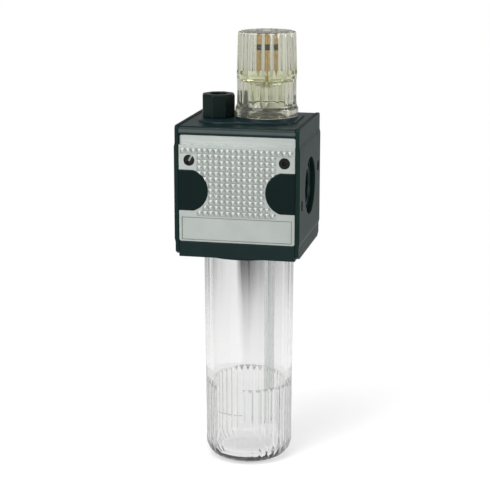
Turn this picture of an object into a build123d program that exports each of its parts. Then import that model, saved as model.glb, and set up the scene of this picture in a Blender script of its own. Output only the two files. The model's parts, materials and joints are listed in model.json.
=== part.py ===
from build123d import *
from math import atan2, cos, degrees, hypot, radians, sin, sqrt
import os

# Modular air line lubricator: a square head with two pipe ports, a clear oil bowl
# screwed in from below, and on top a clear drip dome with its setting needle and a
# filler plug. Millimetres. +Z is up, +X is the way the air flows, -Y is the front.
# The origin is on the surface under the middle of the bowl.

# Head: heights are measured from the port axis
port_height = 119.7
head_width = 52.0
head_depth = 48.8
head_top = 27.1
head_bottom = -27.1
deck_drop = 0.2
edge_round = 1.5
seam_chamfer = 0.3

# Side plates, with a raised middle pad and two key slots for a coupling
side_plate_thickness = 1.45
side_pad_rise = 0.35
side_pad_bottom = -19.7
side_pad_top = 18.5
side_corner_round = 1.5
side_pad_slope = 1.6
side_foot_length = 2.8
side_foot_height = 1.5
side_foot_gap = 0.6
port_recess_radius = 12.0
key_slot_height = 4.6
key_slot_width_front = 2.6
key_slot_width_back = 4.2
key_slot_inset = 5.4
key_slot_rise = 5.0

# Pipe ports (G 3/8, cut plain at the tapping size) and the passage between them
port_radius = 7.63
port_depth = 12.0
port_chamfer = 0.5
passage_radius = 6.0
seal_groove_inner = 8.9
seal_groove_outer = 10.7
seal_groove_depth = 1.3

# Front plate with its raised field of small blunt pyramids and a bare label panel
plate_bottom = -20.7
plate_top = 23.4
plate_thickness = 2.2
plate_corner = 0.9
plate_gap = 0.1
band_bottom = 19.4
band_setback = 1.3
stud_pitch = 2.34
stud_size = 2.1
stud_rise = 0.4
stud_flat = 0.8
stud_first_row = 16.9
stud_row_counts = (20, 14, 14, 14, 14, 12, 10, 10, 10, 10, 12, 14)
label_half_width = 22.9
label_top = -10.4
label_bottom = -19.9
label_depth = 0.15

# D-shaped covers over the coupling screws, one at each side of the front plate
cover_radius = 8.8
cover_half_height = 8.4
cover_inset = 3.4
cover_rise = 0.4
cover_height = 0.7
cover_edge = 0.35
fit_gap = 0.05

# Screws that hold the front plate
screw_inset = 4.4
screw_height = 13.1
screw_head_radius = 2.25
screw_head_sink = 0.3
screw_shank_radius = 1.5
screw_shank_length = 8.0
screw_slot_width = 0.7
screw_slot_depth = 0.8
screw_slot_angle = 60.0
socket_radius = 1.1

# Top insert, whose front edge runs askew, with a raised seat for the dome, and its gasket
insert_front_left = -18.3
insert_front_right = -11.6
insert_back = 18.8
insert_corner_left = 12.0
insert_corner_right = 6.0
insert_rise = 0.8
insert_thickness = 2.0
seat_rise = 1.1
seat_margin = 0.1
gasket_thickness = 0.5
gasket_inset = 1.5

# Round collar under the head, and the bore that takes the bowl
collar_radius = 23.0
collar_drop = 0.9
bowl_bore_radius = 18.4
bowl_bore_top = -13.9
running_gap = 0.08
seat_gap = 0.05

# Clear bowl
bowl_top_radius = 18.95
bowl_foot_radius = 18.35
bowl_inner_draft = 0.5
bowl_floor = 3.2
bowl_foot_round = 7.0
bowl_inner_round = 5.0
neck_top_gap = 0.5
neck_wall = 2.6
rib_top = -85.5
rib_rise = 0.42
rib_radius = 0.95
rib_sink = 0.6
rib_count = 36
window_start = -36.0
window_end = 4.0
window_ledge = -97.0
bowl_ring_section = 0.72
bowl_ring_drop = 1.7
ring_groove_gap = 0.08

# Drip dome
dome_x = 7.5
dome_margin = 0.3
dome_flange_radius = 13.0
dome_flange_height = 3.4
dome_shoulder_height = 1.2
dome_radius = 12.4
dome_top_radius = 11.9
dome_facets = 14
dome_facet_turn = -5.0
dome_flute_turn = -0.5
dome_waist = 44.2
dome_head = 46.4
dome_top = 63.5
dome_top_round = 0.8
flute_radius = 5.0
flute_depth = 0.75
spigot_radius = 10.0
spigot_length = 9.0
chamber_radius = 8.0
chamber_top = 43.6
ceiling_boss_radius = 6.1
ceiling_boss_bottom = 41.4
ceiling_boss_round = 0.8
dome_ring_section = 0.75
oil_way_reach = 9.0
oil_way_radius = 0.7
cross_way_rise = 3.0

# Drip nozzle and setting needle
nozzle_radius = 1.5
nozzle_bore = 0.85
nozzle_bottom = 40.2
nozzle_seat = 1.5
needle_bore = 2.05
needle_radius = 1.98
needle_top = 62.0
needle_foot = 47.6
needle_tip = 40.8
needle_tip_radius = 0.6
needle_cone = 1.4
needle_ring_height = 57.2
needle_ring_section = 0.5
needle_slot_width = 0.8
needle_slot_depth = 1.4

# Filler plug, its bore and the way down into the bowl
plug_x = -13.0
plug_margin = 0.1
plug_radius = 7.2
plug_sides = 8
plug_turn = -7.2
plug_top = 37.3
plug_edge = 0.8
plug_recess_radius = 3.6
plug_recess_depth = 2.5
plug_spigot_radius = 5.0
plug_spigot_length = 8.0
plug_ring_section = 0.6
fill_way_shift = 4.4
fill_way_y = 11.2
fill_way_radius = 2.5

# Venturi insert in the air passage
venturi_gap = 0.02
venturi_mouth = 4.9
venturi_throat = 3.2
venturi_throat_length = 5.0
drip_way_radius = 2.0

# Siphon: cage and seat of the check ball, and the tube into the oil
siphon_y = 9.0
gallery_radius = 1.0
cage_radius = 3.2
cage_length = 6.5
cage_stem_radius = 2.25
cage_stem_length = 4.0
cage_outlet_radius = 0.8
ball_radius = 1.5
ball_room_radius = 1.75
ball_room_height = 3.8
seat_disc_radius = 2.4
seat_disc_height = 2.0
seat_hole_radius = 1.0
seat_flange_height = 0.8
nipple_radius = 1.5
nipple_length = 5.2
tube_radius = 2.3
tube_end_height = 11.0
tube_end_angle = 35.0
touch_gap = 0.02

# How far cutting shapes run out past the piece
overshoot = 1.0

# Worked out from the sizes above
core_half = head_width / 2 - side_plate_thickness - side_pad_rise
side_face = core_half + side_plate_thickness
pad_face = head_width / 2
plate_half = core_half - plate_gap
cover_reach = plate_half - cover_inset
screw_reach = plate_half - screw_inset
key_slot_reach = head_depth / 2 - key_slot_inset
front = -head_depth / 2
deck_top = head_top - deck_drop
insert_left = plug_x - plug_radius - plug_margin
insert_right = dome_x + dome_flange_radius + dome_margin
insert_top = deck_top + insert_rise
insert_bottom = insert_top - insert_thickness
seat_top = insert_top + seat_rise
plate_back = front + plate_thickness
collar_bottom = head_bottom - collar_drop
shoulder = collar_bottom - seat_gap
neck_top = bowl_bore_top - neck_top_gap
neck_radius = bowl_bore_radius - running_gap
bowl_bottom = -port_height
dome_base = seat_top + seat_gap
plug_base = insert_top + seat_gap
dome_bore_floor = dome_base - spigot_length - neck_top_gap
plug_bore_floor = plug_base - plug_spigot_length - neck_top_gap
fill_way_x = plug_x + fill_way_shift
fill_way_height = plug_bore_floor + fill_way_radius
tube_bore = nipple_radius + touch_gap
cage_bottom = bowl_bore_top - cage_length
BASE = (Align.CENTER, Align.CENTER, Align.MIN)
HANGING = (Align.CENTER, Align.CENTER, Align.MAX)


def disc(radius, bottom, top, x=0.0, y=0.0):
    """Upright cylinder between two heights above the port axis."""
    return Pos(x, y, port_height + bottom) * Cylinder(radius, top - bottom, align=BASE)


def turned(points, x=0.0, y=0.0):
    """Solid of revolution about an upright axis, from (radius, height) points."""
    outline = make_face(Polyline(*points, close=True))
    solid = revolve(Plane.XZ * outline, axis=Axis.Z)
    return Pos(x, y, port_height) * solid


def o_ring(middle_radius, section, height, x=0.0):
    """Round seal ring about an upright axis."""
    return Pos(x, 0, port_height + height) * Torus(middle_radius, section)


def along_x(radius, low, high):
    """Cylinder about the port axis from one X to another."""
    length = high - low
    return Pos((low + high) / 2, 0, port_height) * Rot(0, 90, 0) * Cylinder(radius, length)


def front_slab(sketch, near, far):
    """Extrude an (X, height) sketch from one Y to another, near being further forward."""
    plane = Plane(origin=(0, far, port_height), x_dir=(1, 0, 0), z_dir=(0, -1, 0))
    return extrude(plane * sketch, amount=far - near)


def insert_outline(inset=0.0):
    """Four-sided outline of the top insert with round corners, drawn smaller by the inset."""
    outline = make_face(Polyline(
        (insert_left, insert_front_left), (insert_right, insert_front_right),
        (insert_right, insert_back), (insert_left, insert_back), close=True,
    ))
    outline = fillet(outline.vertices().group_by(Axis.X)[0], insert_corner_left)
    outline = fillet(outline.vertices().group_by(Axis.X)[-1], insert_corner_right)
    return offset(outline, amount=-inset) if inset else outline


def cover_outline(grow=0.0):
    """D shape of the right-hand cover: a cut circle run out to the plate's edge."""
    height = 2 * (cover_half_height + grow)
    circle = Pos(cover_reach, cover_height) * Circle(cover_radius + grow)
    band = Pos(cover_reach, cover_height) * Rectangle(4 * cover_radius, height)
    tail_width = cover_inset + grow
    tail = Pos(cover_reach + tail_width / 2, cover_height) * Rectangle(tail_width, height)
    inner_half = Pos(cover_reach - cover_radius, cover_height) * Rectangle(2 * cover_radius, height)
    return (circle & band & inner_half) + tail


def housing():
    """Head casting: ports, passage, bowl bore, dome and plug bores, oil and fill ways."""
    height = deck_top - head_bottom
    block = Pos(0, 0, port_height + head_bottom) * Box(2 * core_half, head_depth, height, align=BASE)
    top_edges = block.edges().group_by(Axis.Z)[-1]
    block = fillet(top_edges.filter_by(Axis.X), edge_round)
    block = chamfer(block.edges().group_by(Axis.Z)[-1].filter_by(Axis.Y), seam_chamfer)
    block += disc(collar_radius, collar_bottom, head_bottom + overshoot)

    pocket = Pos(0, (plate_top + plate_bottom) / 2) * Rectangle(
        2 * head_width, plate_top - plate_bottom + 2 * plate_gap
    )
    block -= front_slab(pocket, front - overshoot, plate_back)
    insert_pocket = extrude(Plane.XY.offset(port_height + insert_bottom - gasket_thickness)
                            * insert_outline(-fit_gap), amount=head_top)
    block -= insert_pocket

    for side in (-1, 1):
        face_x = side * core_half
        deep_x = side * (core_half - port_depth)
        block -= along_x(port_radius, min(face_x, deep_x), max(face_x, deep_x))
        groove_x = side * (core_half - seal_groove_depth)
        low, high = min(face_x, groove_x), max(face_x, groove_x)
        block -= along_x(seal_groove_outer, low, high) - along_x(seal_groove_inner, low, high)
        mouth = Pos(face_x, 0, port_height) * Rot(0, -90 * side, 0) * Cone(
            port_radius + port_chamfer, port_radius, port_chamfer, align=BASE
        )
        block -= mouth
        screw_hole = Pos(side * screw_reach, screw_height) * Circle(screw_shank_radius + fit_gap)
        block -= front_slab(screw_hole, plate_back, plate_back + screw_shank_length + fit_gap)
    block -= along_x(passage_radius, port_depth - core_half, core_half - port_depth)

    block -= disc(bowl_bore_radius, collar_bottom, bowl_bore_top)
    block -= disc(spigot_radius + running_gap, dome_bore_floor, head_top, dome_x)
    block -= disc(drip_way_radius, 0, dome_bore_floor, dome_x)
    block -= disc(gallery_radius, bowl_bore_top, dome_bore_floor, dome_x, siphon_y)
    stem_top = bowl_bore_top + cage_stem_length
    block -= disc(cage_stem_radius + touch_gap, bowl_bore_top, stem_top, dome_x, siphon_y)

    block -= disc(plug_spigot_radius + running_gap, plug_bore_floor, head_top, plug_x)
    block -= disc(fill_way_radius, bowl_bore_top, fill_way_height, fill_way_x, fill_way_y)
    run = hypot(fill_way_x - plug_x, fill_way_y)
    turn = degrees(atan2(fill_way_y, fill_way_x - plug_x))
    cross = Pos(plug_x, 0, port_height + fill_way_height) * Rot(0, 0, turn) * Rot(0, 90, 0)
    block -= cross * Cylinder(fill_way_radius, run, align=BASE)
    block -= Pos(fill_way_x, fill_way_y, port_height + fill_way_height) * Sphere(fill_way_radius)
    return block


def side_plate(side):
    """Cover plate of one side: raised pad with sloped ends, port recess and two key slots."""
    foot = head_bottom + side_foot_gap
    half = head_depth / 2
    blank = make_face(Polyline(
        (-half, head_top), (half, head_top), (half, foot + side_foot_height), (half - side_foot_length, foot),
        (side_foot_length - half, foot), (-half, foot + side_foot_height), close=True,
    ))
    blank = fillet(blank.vertices().group_by(Axis.Y)[-1], side_corner_round)
    plane = Plane(origin=(side * core_half, 0, port_height), x_dir=(0, 1, 0), z_dir=(1, 0, 0))
    plate = extrude(plane * blank, amount=side * side_plate_thickness)
    low, high = side_pad_bottom - side_pad_slope, side_pad_top + side_pad_slope
    pad = make_face(Polyline(
        (side * core_half, low), (side * side_face, low), (side * pad_face, side_pad_bottom),
        (side * pad_face, side_pad_top), (side * side_face, high), (side * core_half, high), close=True,
    ))
    plate += Pos(0, 0, port_height) * extrude(Plane.XZ * pad, amount=half, both=True)
    front_slot = SlotOverall(key_slot_height, key_slot_width_front, rotation=90)
    back_slot = SlotOverall(key_slot_height, key_slot_width_back, rotation=90)
    holes = Circle(port_recess_radius)
    holes += Pos(-key_slot_reach, -key_slot_rise) * front_slot
    holes += Pos(key_slot_reach, key_slot_rise) * back_slot
    return plate - extrude(plane * holes, amount=2 * side_plate_thickness, both=True)


def stud_places():
    """Centres of the pyramids, row by row from the top and level about the middle."""
    places = []
    for row, count in enumerate(stud_row_counts):
        height = stud_first_row - row * stud_pitch
        for column in range(count):
            places.append(((column - (count - 1) / 2) * stud_pitch, height))
    return places


def front_plate():
    """Bright front plate: stepped top band, pyramids, label panel, cover and screw openings."""
    sheet = RectangleRounded(2 * plate_half, plate_top - plate_bottom, plate_corner)
    plate = front_slab(Pos(0, (plate_top + plate_bottom) / 2) * sheet, front, plate_back)
    slope = degrees(atan2((stud_size - stud_flat) / 2, stud_rise))
    stud_plane = Plane(origin=(0, front, port_height), x_dir=(1, 0, 0), z_dir=(0, -1, 0))
    studs = []
    for x, height in stud_places():
        square = Pos(x, height) * Rectangle(stud_size, stud_size)
        studs.append(extrude(stud_plane * square, amount=stud_rise, taper=slope))
    plate = plate.fuse(*studs)

    band_height = plate_top - band_bottom + overshoot
    band = Pos(0, band_bottom + band_height / 2) * Rectangle(2 * head_width, band_height)
    plate -= front_slab(band, front - overshoot, front + band_setback)
    label = Rectangle(2 * label_half_width, label_top - label_bottom)
    label = Pos(0, (label_top + label_bottom) / 2) * label
    plate -= front_slab(label, front - overshoot, front + label_depth)
    openings = cover_outline(fit_gap) + Pos(screw_reach, screw_height) * Circle(screw_head_radius + fit_gap)
    openings += mirror(openings, Plane.YZ)
    return plate - front_slab(openings, front - overshoot, plate_back)


def cover(side):
    """D-shaped cover with a softened rim, standing a little proud of the plate."""
    outline = cover_outline() if side > 0 else mirror(cover_outline(), Plane.YZ)
    pad = front_slab(outline, front - cover_rise, plate_back)
    return fillet(pad.edges().group_by(Axis.Y)[0], cover_edge)


def plate_screw(side):
    """Pan screw of the front plate: slotted on the left, socket head on the right."""
    place = Pos(side * screw_reach, screw_height)
    top = front + screw_head_sink
    screw = front_slab(place * Circle(screw_head_radius), top, plate_back)
    screw += front_slab(place * Circle(screw_shank_radius), plate_back, plate_back + screw_shank_length)
    if side < 0:
        drive = Rot(0, 0, screw_slot_angle) * Rectangle(3 * screw_head_radius, screw_slot_width)
    else:
        drive = RegularPolygon(socket_radius, 6)
    return screw - front_slab(place * drive, top - overshoot, top + screw_slot_depth)


def head_insert():
    """Rounded top insert that seats the dome and the filler plug."""
    plate = extrude(Plane.XY.offset(port_height + insert_bottom) * insert_outline(), amount=insert_thickness)
    rim = plate.edges().group_by(Axis.Z)[-1]
    plate = fillet(rim, insert_rise / 2)
    plate += disc(dome_flange_radius + seat_margin, insert_bottom, seat_top, dome_x)
    plate -= disc(spigot_radius + running_gap, insert_bottom, seat_top, dome_x)
    plate -= disc(spigot_radius + 2 * dome_ring_section + 2 * running_gap,
                  seat_top - 2 * dome_ring_section - running_gap, seat_top, dome_x)
    plate -= disc(plug_spigot_radius + running_gap, insert_bottom, insert_top, plug_x)
    plate -= disc(plug_spigot_radius + 2 * plug_ring_section + 2 * running_gap,
                  insert_top - 2 * plug_ring_section - running_gap, insert_top, plug_x)
    return plate


def head_gasket():
    """Flat gasket between the head casting and its top insert."""
    sheet = insert_outline(gasket_inset)
    sheet -= Pos(dome_x, 0) * Circle(spigot_radius + 2 * running_gap)
    sheet -= Pos(plug_x, 0) * Circle(plug_spigot_radius + 2 * running_gap)
    floor = port_height + insert_bottom - gasket_thickness
    return extrude(Plane.XY.offset(floor) * sheet, amount=gasket_thickness)


def venturi_insert():
    """Sleeve in the air passage, narrowed under the drip way."""
    half = core_half - port_depth
    outer = passage_radius - venturi_gap
    throat = venturi_throat_length / 2
    outline = [
        (outer, -half), (outer, half), (venturi_mouth, half),
        (venturi_throat, dome_x + throat), (venturi_throat, dome_x - throat), (venturi_mouth, -half),
    ]
    sleeve = revolve(Plane.XZ * make_face(Polyline(*outline, close=True)), axis=Axis.Z)
    sleeve = Pos(0, 0, port_height) * Rot(0, 90, 0) * sleeve
    return sleeve - disc(drip_way_radius, 0, passage_radius, dome_x)


def ball_cage():
    """Cage pressed into the head over the siphon tube, with room for the check ball."""
    room_floor = cage_bottom + seat_disc_height
    room_top = room_floor + ball_room_height
    cage = disc(cage_radius, cage_bottom, bowl_bore_top, dome_x, siphon_y)
    cage += disc(cage_stem_radius, bowl_bore_top, bowl_bore_top + cage_stem_length, dome_x, siphon_y)
    cage -= disc(seat_disc_radius, cage_bottom, room_floor, dome_x, siphon_y)
    cage -= disc(ball_room_radius, room_floor, room_top, dome_x, siphon_y)
    return cage - disc(cage_outlet_radius, room_top, bowl_bore_top + cage_stem_length, dome_x, siphon_y)


def siphon_seat():
    """Seat under the check ball, with the nipple that carries the tube."""
    flange_bottom = cage_bottom - seat_flange_height
    seat_top = cage_bottom + seat_disc_height
    nipple_bottom = flange_bottom - nipple_length
    seat = disc(seat_disc_radius - touch_gap, cage_bottom, seat_top, dome_x, siphon_y)
    seat += disc(cage_radius, flange_bottom, cage_bottom, dome_x, siphon_y)
    seat += disc(nipple_radius, nipple_bottom, flange_bottom, dome_x, siphon_y)
    return seat - disc(seat_hole_radius, nipple_bottom, seat_top, dome_x, siphon_y)


def check_ball():
    """Ball resting on the rim of the seat's hole."""
    rest = cage_bottom + seat_disc_height + sqrt(ball_radius ** 2 - seat_hole_radius ** 2) + touch_gap
    return Pos(dome_x, siphon_y, port_height + rest) * Sphere(ball_radius)


def siphon_tube():
    """Tube from the seat's nipple down into the oil, cut aslant at its end."""
    top = cage_bottom - seat_flange_height
    bottom = bowl_bottom + tube_end_height
    tube = disc(tube_radius, bottom, top, dome_x, siphon_y)
    tube -= disc(tube_bore, bottom, top, dome_x, siphon_y)
    below = Box(6 * tube_radius, 6 * tube_radius, 4 * tube_radius, align=HANGING)
    return tube - Pos(dome_x, siphon_y, port_height + bottom) * Rot(tube_end_angle, 0, 0) * below


def wall_radius(height):
    """Outer radius of the bowl's drafted wall at a height above the port axis."""
    share = (height - bowl_bottom) / (shoulder - bowl_bottom)
    return bowl_foot_radius + share * (bowl_top_radius - bowl_foot_radius)


def bowl_body():
    """Full round body of the bowl below its shoulder."""
    outer = FilletPolyline(
        (bowl_top_radius, shoulder), (bowl_foot_radius, bowl_bottom), (0, bowl_bottom), radius=bowl_foot_round
    )
    line = outer + Polyline((0, bowl_bottom), (0, shoulder), (bowl_top_radius, shoulder))
    return Pos(0, 0, port_height) * revolve(Plane.XZ * make_face(line), axis=Axis.Z)


def bowl():
    """Clear bowl: plain threaded neck with its ring groove, drafted wall, and below it ribs and a window."""
    inner_top = neck_radius - neck_wall
    inner_foot = inner_top - bowl_inner_draft
    groove_half = bowl_ring_section + ring_groove_gap
    groove_floor = neck_radius - 2 * bowl_ring_section
    ring_height = neck_top - bowl_ring_drop
    step_radius = wall_radius(rib_top)
    upper = Polyline((bowl_top_radius, shoulder), (step_radius, rib_top), (step_radius - rib_rise, rib_top))
    lower = FilletPolyline(
        (step_radius - rib_rise, rib_top), (bowl_foot_radius - rib_rise, bowl_bottom), (0, bowl_bottom),
        radius=bowl_foot_round,
    )
    inner = FilletPolyline(
        (0, bowl_bottom + bowl_floor),
        (inner_foot, bowl_bottom + bowl_floor),
        (inner_top, neck_top),
        radius=bowl_inner_round,
    )
    neck = Polyline(
        (inner_top, neck_top), (neck_radius, neck_top),
        (neck_radius, ring_height + groove_half), (groove_floor, ring_height + groove_half),
        (groove_floor, ring_height - groove_half), (neck_radius, ring_height - groove_half),
        (neck_radius, shoulder), (bowl_top_radius, shoulder),
    )
    axis_line = Line((0, bowl_bottom), (0, bowl_bottom + bowl_floor))
    wall = make_face(upper + lower + axis_line + inner + neck)
    shell = Pos(0, 0, port_height) * revolve(Plane.XZ * wall, axis=Axis.Z)

    reach = bowl_foot_radius - rib_sink
    raised = []
    for step in range(rib_count):
        angle = window_end + (step + 0.5) * 360 / rib_count
        if angle < 360 + window_start:
            x, y = reach * sin(radians(angle)), -reach * cos(radians(angle))
            raised.append(disc(rib_radius, bowl_bottom, rib_top, x, y))
    corners = [(0, 0)]
    for angle in (window_start, (window_start + window_end) / 2, window_end):
        out = 2 * bowl_top_radius
        corners.append((out * sin(radians(angle)), -out * cos(radians(angle))))
    sector = make_face(Polyline(*corners, close=True))
    raised.append(Pos(0, 0, port_height + window_ledge) * extrude(sector, amount=rib_top - window_ledge))
    hollow = disc((inner_foot + bowl_foot_radius) / 2, bowl_bottom, rib_top)
    body = bowl_body()
    trimmed = [(piece & body) - hollow for piece in raised]
    return shell.fuse(*[piece.solid() for piece in trimmed])


def bowl_o_ring():
    """Seal ring in the groove of the bowl's neck."""
    middle = neck_radius - bowl_ring_section
    return o_ring(middle, bowl_ring_section, neck_top - bowl_ring_drop)


def sight_dome():
    """Clear drip dome: spigot, flange, facetted waist, plain belt, fluted head and needle bore."""
    shoulder_low = dome_base + dome_flange_height
    dome = disc(spigot_radius, dome_base - spigot_length, dome_base, dome_x)
    dome += disc(dome_flange_radius, dome_base, shoulder_low, dome_x)
    cone = Cone(dome_flange_radius, dome_radius, dome_shoulder_height, align=BASE)
    dome += Pos(dome_x, 0, port_height + shoulder_low) * cone
    waist = RegularPolygon(dome_radius, dome_facets, rotation=dome_facet_turn)
    waist_plane = Plane((dome_x, 0, port_height + shoulder_low))
    dome += extrude(waist_plane * waist, amount=dome_waist - shoulder_low)
    dome += disc(dome_radius, dome_waist, dome_head, dome_x)
    head_height = dome_top - dome_head
    head = Cone(dome_radius, dome_top_radius, head_height, align=BASE)
    head = Pos(dome_x, 0, port_height + dome_head) * head
    head = fillet(head.edges().group_by(Axis.Z)[-1], dome_top_round)
    flute_reach = dome_radius + flute_radius - flute_depth
    lean = degrees(atan2(dome_radius - dome_top_radius, head_height))
    flute = Pos(flute_reach, 0) * Rot(0, -lean, 0) * Cylinder(flute_radius, 3 * head_height)
    for step in range(dome_facets):
        angle = dome_flute_turn + step * 360 / dome_facets
        head -= Pos(dome_x, 0, port_height + dome_head) * Rot(0, 0, angle) * flute
    dome += head
    boss = disc(ceiling_boss_radius, ceiling_boss_bottom, dome_waist, dome_x)
    boss = fillet(boss.edges().group_by(Axis.Z)[0], ceiling_boss_round)
    dome -= disc(chamber_radius, dome_base - spigot_length, chamber_top, dome_x) - boss
    dome -= disc(nozzle_radius + touch_gap, ceiling_boss_bottom, ceiling_boss_bottom + nozzle_seat, dome_x)
    dome -= disc(nozzle_bore, ceiling_boss_bottom, needle_foot, dome_x)
    dome -= disc(needle_bore, needle_foot - needle_cone, dome_top, dome_x)
    way_top = chamber_top + cross_way_rise
    dome -= disc(oil_way_radius, dome_base - spigot_length, way_top, dome_x, oil_way_reach)
    cross = Rot(-90, 0, 0) * Cylinder(oil_way_radius, oil_way_reach, align=BASE)
    return dome - Pos(dome_x, 0, port_height + way_top) * cross


def dome_o_ring():
    """Seal ring under the dome's flange."""
    middle = spigot_radius + running_gap / 2 + dome_ring_section
    return o_ring(middle, dome_ring_section, seat_top - dome_ring_section, dome_x)


def drip_nozzle():
    """Short tube pressed into the boss of the drip chamber's ceiling."""
    top = ceiling_boss_bottom + nozzle_seat
    tube = disc(nozzle_radius, nozzle_bottom, top, dome_x)
    return tube - disc(nozzle_bore, nozzle_bottom, top, dome_x)


def needle():
    """Brass setting needle: slotted head, ring groove, plain thread, cone and tip."""
    groove_half = needle_ring_section + ring_groove_gap
    groove_floor = needle_bore - fit_gap - 2 * needle_ring_section - fit_gap
    groove_top = needle_ring_height + groove_half
    groove_bottom = needle_ring_height - groove_half
    outline = [
        (0, needle_top), (needle_radius, needle_top),
        (needle_radius, groove_top), (groove_floor, groove_top),
        (groove_floor, groove_bottom), (needle_radius, groove_bottom),
        (needle_radius, needle_foot), (needle_tip_radius, needle_foot - needle_cone / 2),
        (needle_tip_radius, needle_tip + needle_tip_radius), (0, needle_tip),
    ]
    pin = turned(outline, dome_x)
    slot_bottom = port_height + needle_top - needle_slot_depth
    slot = Box(3 * needle_radius, needle_slot_width, 2 * needle_slot_depth, align=BASE)
    return pin - Pos(dome_x, 0, slot_bottom) * slot


def needle_o_ring():
    """Seal ring in the needle's groove."""
    middle = needle_bore - fit_gap - needle_ring_section
    return o_ring(middle, needle_ring_section, needle_ring_height, dome_x)


def filler_plug():
    """Eight-sided filler plug with a round recess in its head."""
    face = RegularPolygon(plug_radius, plug_sides, rotation=plug_turn)
    head = extrude(Plane((plug_x, 0, port_height + plug_base)) * face, amount=plug_top - plug_base)
    head = chamfer(head.edges().group_by(Axis.Z)[-1], plug_edge)
    head -= disc(plug_recess_radius, plug_top - plug_recess_depth, plug_top, plug_x)
    return head + disc(plug_spigot_radius, plug_base - plug_spigot_length, plug_base, plug_x)


def filler_plug_o_ring():
    """Seal ring under the filler plug's head."""
    middle = plug_spigot_radius + running_gap / 2 + plug_ring_section
    return o_ring(middle, plug_ring_section, insert_top - plug_ring_section, plug_x)


def build_all():
    """Every piece of the lubricator by its node name."""
    return {
        "housing": housing(),
        "side_plate_left": side_plate(-1),
        "side_plate_right": side_plate(1),
        "front_plate": front_plate(),
        "coupling_cover_left": cover(-1),
        "coupling_cover_right": cover(1),
        "plate_screw_left": plate_screw(-1),
        "plate_screw_right": plate_screw(1),
        "head_insert": head_insert(),
        "head_gasket": head_gasket(),
        "venturi_insert": venturi_insert(),
        "ball_cage": ball_cage(),
        "siphon_seat": siphon_seat(),
        "check_ball": check_ball(),
        "siphon_tube": siphon_tube(),
        "bowl": bowl(),
        "bowl_o_ring": bowl_o_ring(),
        "sight_dome": sight_dome(),
        "dome_o_ring": dome_o_ring(),
        "drip_nozzle": drip_nozzle(),
        "needle": needle(),
        "needle_o_ring": needle_o_ring(),
        "filler_plug": filler_plug(),
        "filler_plug_o_ring": filler_plug_o_ring(),
    }


os.makedirs("parts", exist_ok=True)
for name, solid in build_all().items():
    export_step(solid, f"parts/{name}.step")
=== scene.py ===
"""Air line lubricator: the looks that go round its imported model.

Every size is in metres, in the model's own frame: +Z up, +X the way the air flows, -Y the front.
Clear pieces are surfaces worked out as whole grids; the rest keep the model's solids and get finishes.
"""
import json

import bpy
import numpy as np
from bpy.props import FloatProperty, FloatVectorProperty, IntProperty, PointerProperty
from mathutils import Matrix, Vector


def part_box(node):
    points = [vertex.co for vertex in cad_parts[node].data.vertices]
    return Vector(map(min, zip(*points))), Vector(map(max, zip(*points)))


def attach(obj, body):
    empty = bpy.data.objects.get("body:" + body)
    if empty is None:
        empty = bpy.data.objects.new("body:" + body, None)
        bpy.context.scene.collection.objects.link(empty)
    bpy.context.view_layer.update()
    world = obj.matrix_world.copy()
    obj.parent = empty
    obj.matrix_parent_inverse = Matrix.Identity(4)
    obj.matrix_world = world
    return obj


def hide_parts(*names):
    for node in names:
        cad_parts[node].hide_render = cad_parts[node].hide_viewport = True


bl_info = {
    "name": "Air Line Lubricator",
    "version": (1, 0, 0),
    "blender": (4, 5, 0),
    "location": "View3D > Sidebar > Lubricator",
    "description": "Builds the clear pieces, finishes and studio of an air line lubricator",
    "category": "Object",
}

MM = 0.001
TURN = 2 * np.pi
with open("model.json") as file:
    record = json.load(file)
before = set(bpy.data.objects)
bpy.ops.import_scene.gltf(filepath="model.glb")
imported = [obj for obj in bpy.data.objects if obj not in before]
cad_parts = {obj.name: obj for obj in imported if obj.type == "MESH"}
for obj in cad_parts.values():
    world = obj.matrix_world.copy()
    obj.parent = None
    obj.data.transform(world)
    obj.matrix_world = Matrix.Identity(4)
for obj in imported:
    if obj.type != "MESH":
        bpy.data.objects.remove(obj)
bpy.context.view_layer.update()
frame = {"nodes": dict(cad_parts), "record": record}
mounts = {mount["name"]: mount for mount in frame["record"]["mounts"]}
PORT = mounts["outlet"]["pos_m"][2]
DOME_X = sum(corner[0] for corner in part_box("sight_dome")) / 2
PLUG_X = sum(corner[0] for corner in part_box("filler_plug")) / 2


def length(name, text, value):
    """A size property in metres, from a value in millimetres."""
    return FloatProperty(name=name, description=text, default=value * MM, unit="LENGTH", precision=5)


def tint(name, text, value):
    """A colour property in linear light."""
    return FloatVectorProperty(name=name, description=text, default=value, subtype="COLOR", min=0, max=1)


class BowlSizes(bpy.types.PropertyGroup):
    """Sizes of the clear oil bowl."""

    top_radius: length("Top radius", "Outer radius just under the head", 18.95)
    foot_radius: length("Foot radius", "Outer radius just above the rounded foot", 18.35)
    neck_radius: length("Neck radius", "Radius over the threaded neck", 18.32)
    neck_wall: length("Neck wall", "Wall thickness at the neck", 2.6)
    draft: length("Draft", "How much narrower the inside is at its foot", 0.5)
    floor: length("Floor", "Thickness of the bottom", 3.2)
    foot_round: length("Foot round", "Outer rounding of the foot", 7.0)
    inner_round: length("Inner round", "Inner rounding of the foot", 5.0)
    shoulder: length("Shoulder", "Height of the shoulder that meets the head", 91.65)
    neck_top: length("Neck top", "Height of the neck's rim", 105.3)
    ring_height: length("Ring height", "Height of the seal groove", 103.6)
    rib_top: length("Rib top", "Height at which the grip ribs begin", 34.2)
    rib_rise: length("Rib rise", "Height of a grip rib", 0.42)
    ribs: IntProperty(name="Ribs", description="Rib pitches round the bowl", default=36, min=3)
    window_start: FloatProperty(name="Window start", description="Left edge of the smooth window, in degrees from the front", default=-36.0)
    window_end: FloatProperty(name="Window end", description="Right edge of the smooth window, in degrees from the front", default=4.0)
    window_foot: length("Window foot", "Height of the ledge under the smooth window", 22.7)
    pitch: length("Thread pitch", "Pitch of the neck's thread", 2.5)


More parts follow.
